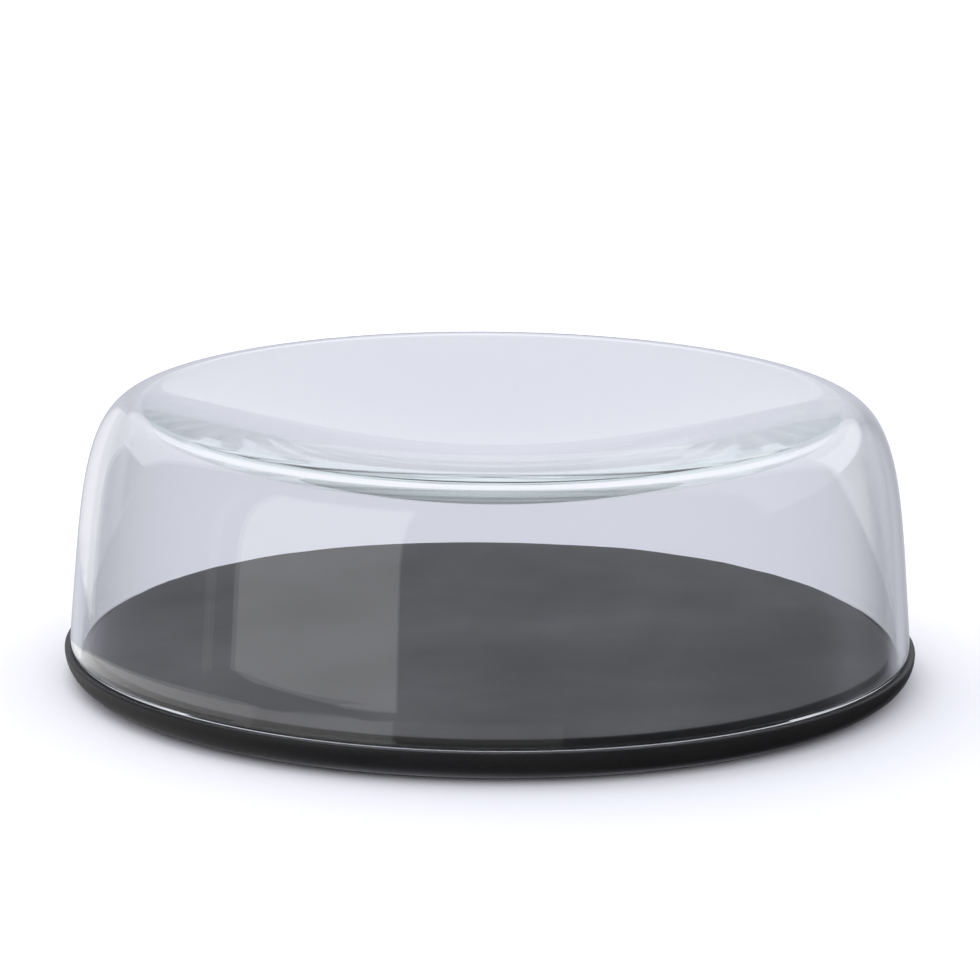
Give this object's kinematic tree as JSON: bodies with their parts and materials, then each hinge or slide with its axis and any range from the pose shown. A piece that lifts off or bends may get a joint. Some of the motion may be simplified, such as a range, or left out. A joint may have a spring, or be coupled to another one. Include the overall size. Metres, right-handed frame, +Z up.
{
  "type": "cheese dome",
  "caption": "Round cheese dome: a clear glass cover with a dished, knob-free top lifts off a dark matt serving base with a raised disc and a stepped seat.",
  "frame": {"origin": "centre of the base at table level, under the pads", "axes": "+Z up along the axis of the dome and base; +X to the right and -Y towards the front"},
  "size_m": [0.3, 0.3, 0.0975],
  "materials": {
    "base": "fine-grained matt charcoal black",
    "glass": "clear, fire-polished, faint cool green in the thick edge",
    "pads": "matt black non-slip rubber"
  },
  "bodies": {
    "base": {"base_plate": "base", "non_slip_pad_1": "pads", "non_slip_pad_2": "pads", "non_slip_pad_3": "pads", "non_slip_pad_4": "pads"},
    "dome": {"glass_dome": "glass"}
  },
  "joints": [
    {"name": "dome_lift", "type": "slide", "parent": "base", "child": "dome", "axis": [0, 0, 1], "range_m": [0, 0.12]}
  ]
}
